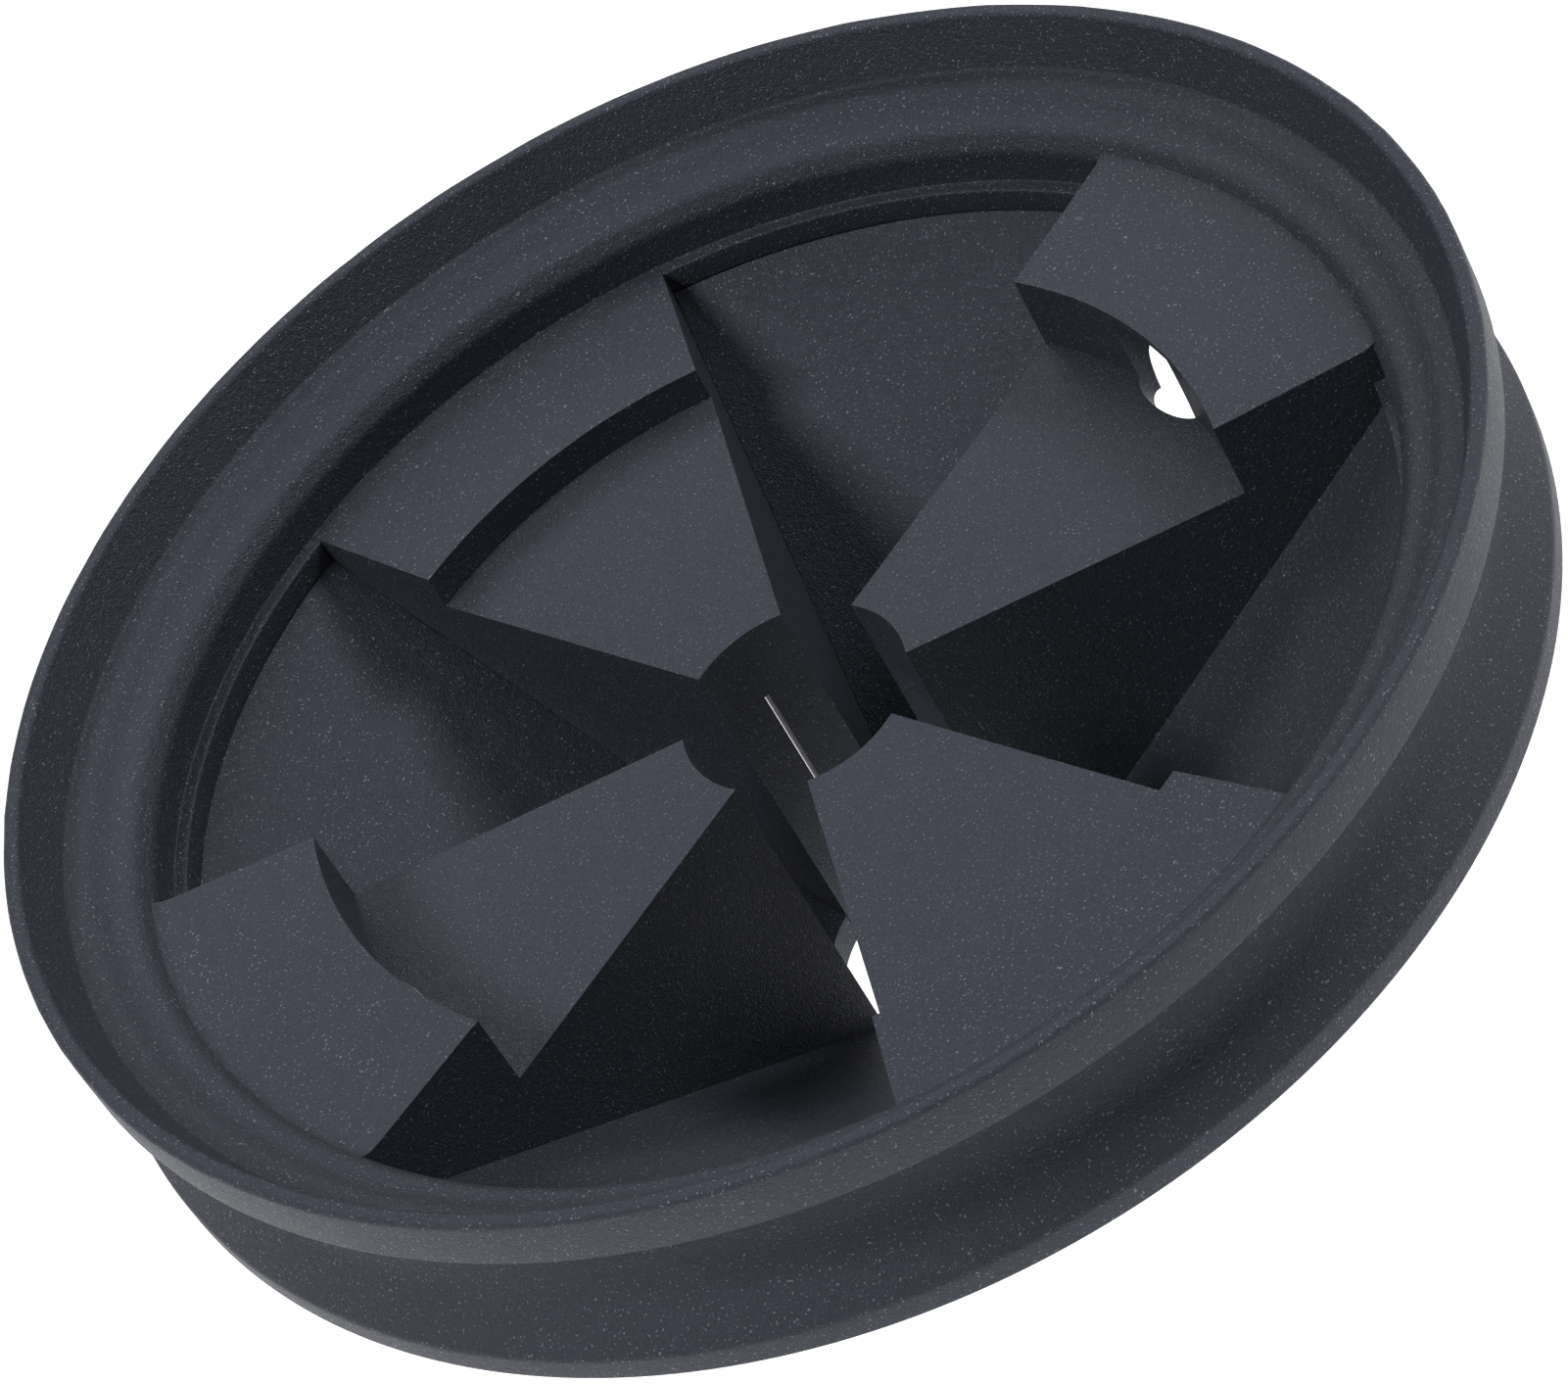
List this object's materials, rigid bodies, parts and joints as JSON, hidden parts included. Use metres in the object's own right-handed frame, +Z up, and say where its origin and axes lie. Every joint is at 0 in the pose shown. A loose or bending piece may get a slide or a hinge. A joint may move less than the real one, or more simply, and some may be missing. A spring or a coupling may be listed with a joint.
{
  "type": "rubber splash baffle",
  "caption": "Round grooved rubber collar with a stepped ring of hinged flaps: sloping blades between hollow raised wedges that meet around a small throat.",
  "frame": {"origin": "on the collar's axis, half way between the bead's underside and the lip's top", "axes": "+Z up along the collar's axis towards the lip side; +X through the middle of a vented flap, +Y through the middle of a plain flap"},
  "size_m": [0.086, 0.086, 0.035],
  "materials": {
    "black_rubber": "matte moulded rubber with a fine grain"
  },
  "bodies": {
    "collar": {"collar": "black_rubber"},
    "low_flap_1": {"low_flap_1": "black_rubber"},
    "low_flap_2": {"low_flap_2": "black_rubber"},
    "low_flap_3": {"low_flap_3": "black_rubber"},
    "low_flap_4": {"low_flap_4": "black_rubber"},
    "vented_flap_1": {"vented_flap_1": "black_rubber"},
    "vented_flap_2": {"vented_flap_2": "black_rubber"},
    "plain_flap_1": {"plain_flap_1": "black_rubber"},
    "plain_flap_2": {"plain_flap_2": "black_rubber"}
  },
  "joints": [
    {"name": "low_flap_1_bend", "type": "hinge", "parent": "collar", "child": "low_flap_1", "pos_m": [0.02531, 0.02531, -0.0031], "axis": [0.7071, -0.7071, 0], "range_deg": [0, 40], "stiffness_Nm_per_rad": 0.03},
    {"name": "low_flap_2_bend", "type": "hinge", "parent": "collar", "child": "low_flap_2", "pos_m": [-0.02531, 0.02531, -0.0031], "axis": [0.7071, 0.7071, 0], "range_deg": [0, 40], "stiffness_Nm_per_rad": 0.03},
    {"name": "low_flap_3_bend", "type": "hinge", "parent": "collar", "child": "low_flap_3", "pos_m": [-0.02531, -0.02531, -0.0031], "axis": [-0.7071, 0.7071, 0], "range_deg": [0, 40], "stiffness_Nm_per_rad": 0.03},
    {"name": "low_flap_4_bend", "type": "hinge", "parent": "collar", "child": "low_flap_4", "pos_m": [0.02531, -0.02531, -0.0031], "axis": [-0.7071, -0.7071, 0], "range_deg": [0, 40], "stiffness_Nm_per_rad": 0.03},
    {"name": "vented_flap_1_bend", "type": "hinge", "parent": "collar", "child": "vented_flap_1", "pos_m": [0.0358, 0, -0.0031], "axis": [0, -1, 0], "range_deg": [0, 40], "stiffness_Nm_per_rad": 0.06},
    {"name": "vented_flap_2_bend", "type": "hinge", "parent": "collar", "child": "vented_flap_2", "pos_m": [-0.0358, 0, -0.0031], "axis": [0, 1, 0], "range_deg": [0, 40], "stiffness_Nm_per_rad": 0.06},
    {"name": "plain_flap_1_bend", "type": "hinge", "parent": "collar", "child": "plain_flap_1", "pos_m": [0, 0.0358, -0.0031], "axis": [1, 0, 0], "range_deg": [0, 40], "stiffness_Nm_per_rad": 0.06},
    {"name": "plain_flap_2_bend", "type": "hinge", "parent": "collar", "child": "plain_flap_2", "pos_m": [0, -0.0358, -0.0031], "axis": [-1, 0, 0], "range_deg": [0, 40], "stiffness_Nm_per_rad": 0.06}
  ]
}
